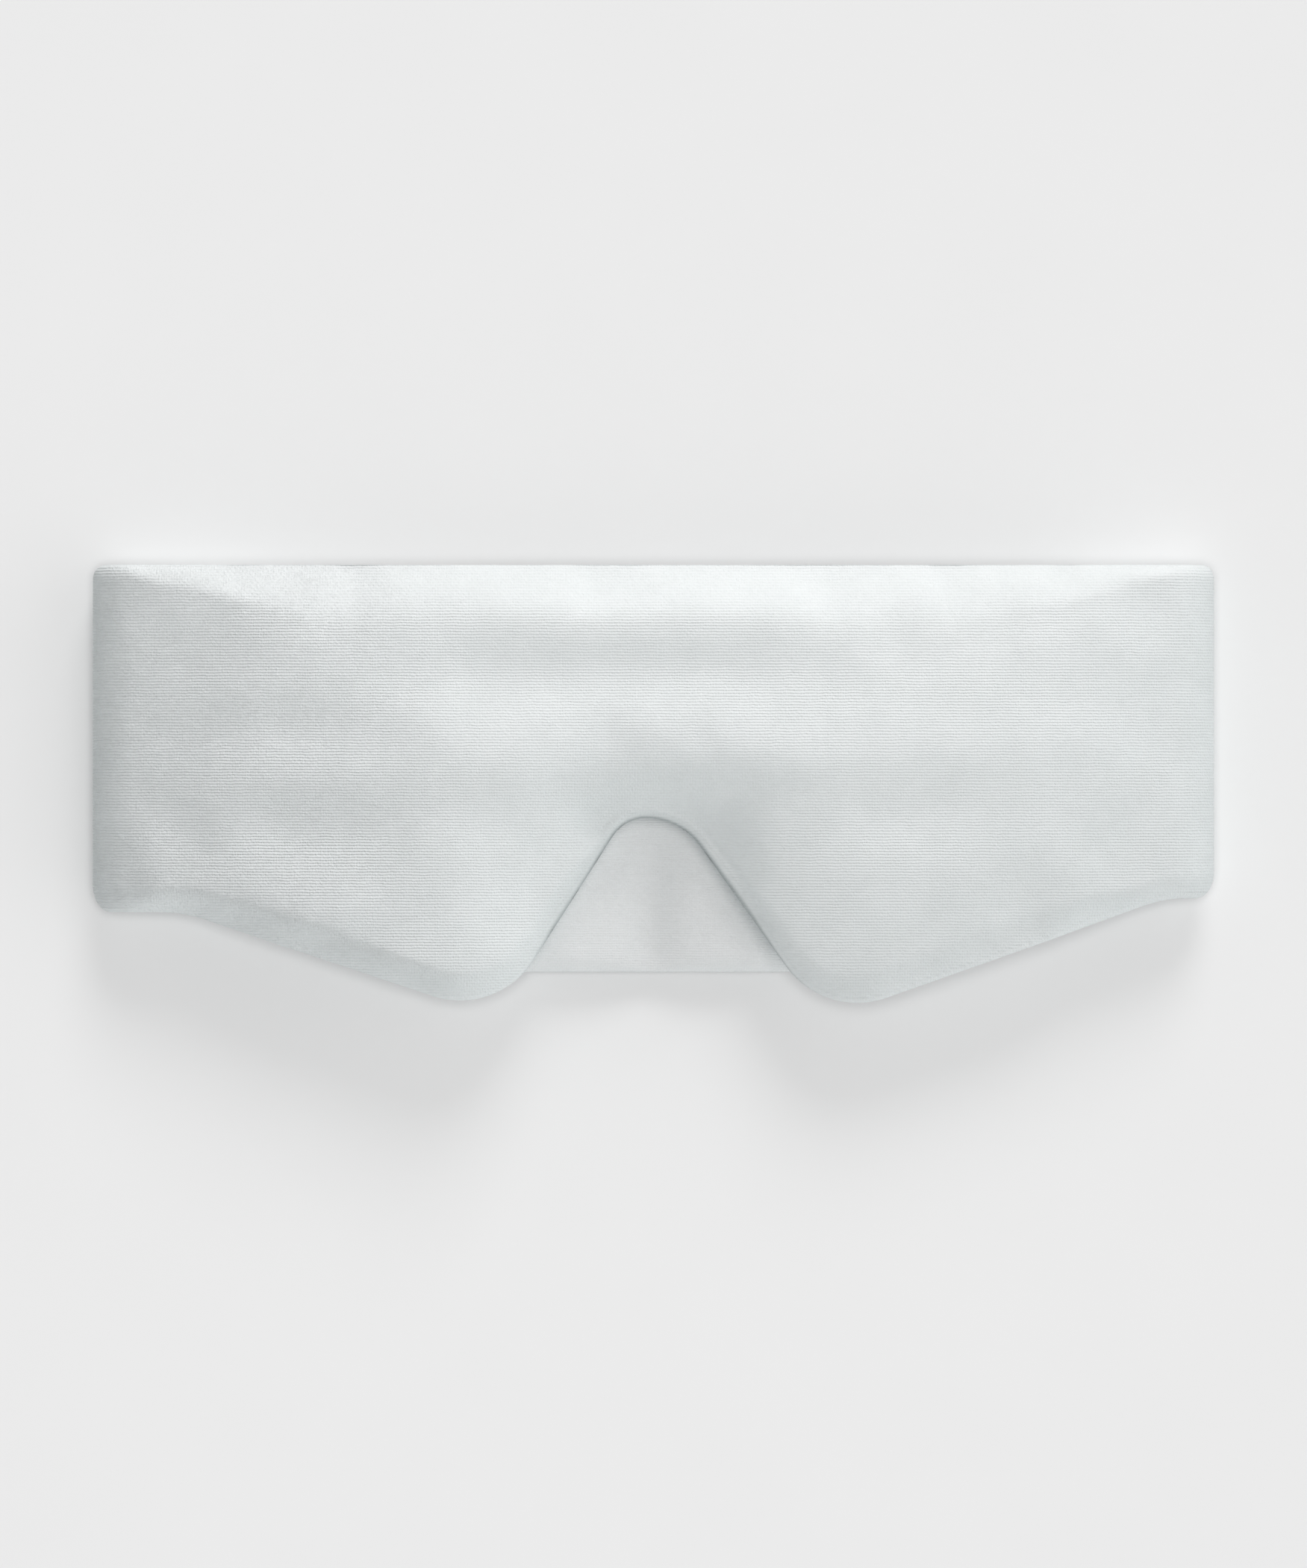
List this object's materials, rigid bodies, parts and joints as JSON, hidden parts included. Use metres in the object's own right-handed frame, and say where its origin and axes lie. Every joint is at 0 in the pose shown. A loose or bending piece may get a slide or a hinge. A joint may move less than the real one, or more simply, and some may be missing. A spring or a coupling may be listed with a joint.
{
  "type": "wrap-around eye pillow",
  "caption": "Padded wrap-around eye pillow with a nose notch, folded flat, its back straps joined by a hook-and-loop tab.",
  "frame": {"origin": "centre of the plan box, on the plane the folded straps rest on", "axes": "+X along the width to the right as seen from the front, +Y towards the straight top edge, +Z out of the front of the eye section"},
  "size_m": [0.27, 0.1051, 0.027],
  "materials": {
    "knit_fabric": "matte",
    "fibrefill": "matte",
    "blackout_cloth": "matte",
    "lining_jersey": "matte",
    "label_tape": "matte",
    "hook_side": "matte",
    "loop_side": "matte",
    "thread": "matte"
  },
  "bodies": {
    "eye_section": {"front_outer_panel": "knit_fabric", "front_padding": "fibrefill", "blackout_interlining": "blackout_cloth", "front_lining": "lining_jersey", "left_fold": "knit_fabric", "right_fold": "knit_fabric"},
    "left_strap": {"left_strap_outer_panel": "knit_fabric", "left_strap_padding": "fibrefill", "left_strap_lining": "lining_jersey", "care_label": "label_tape"},
    "right_strap": {"right_strap_outer_panel": "knit_fabric", "right_strap_padding": "fibrefill", "right_strap_lining": "lining_jersey", "loop_tape": "loop_side", "loop_tape_stitching": "thread"},
    "closure_tab": {"tab_backing": "knit_fabric", "hook_tape": "hook_side", "hook_tape_stitching": "thread"}
  },
  "joints": [
    {"name": "left_side_fold", "type": "hinge", "parent": "eye_section", "child": "left_strap", "pos_m": [-0.126, 0, 0.009], "axis": [0, 1, 0], "range_deg": [0, 180], "deforming": ["left_fold"]},
    {"name": "right_side_fold", "type": "hinge", "parent": "eye_section", "child": "right_strap", "pos_m": [0.126, 0, 0.009], "axis": [0, -1, 0], "range_deg": [0, 180], "deforming": ["right_fold"]},
    {"name": "closure_tab_peel", "type": "hinge", "parent": "left_strap", "child": "closure_tab", "pos_m": [0.0456, 0, 0.0005], "axis": [0, 1, 0], "range_deg": [0, 150]}
  ],
  "couplings": [
    {"joint": "right_side_fold", "follows": "left_side_fold", "ratio": 1}
  ]
}
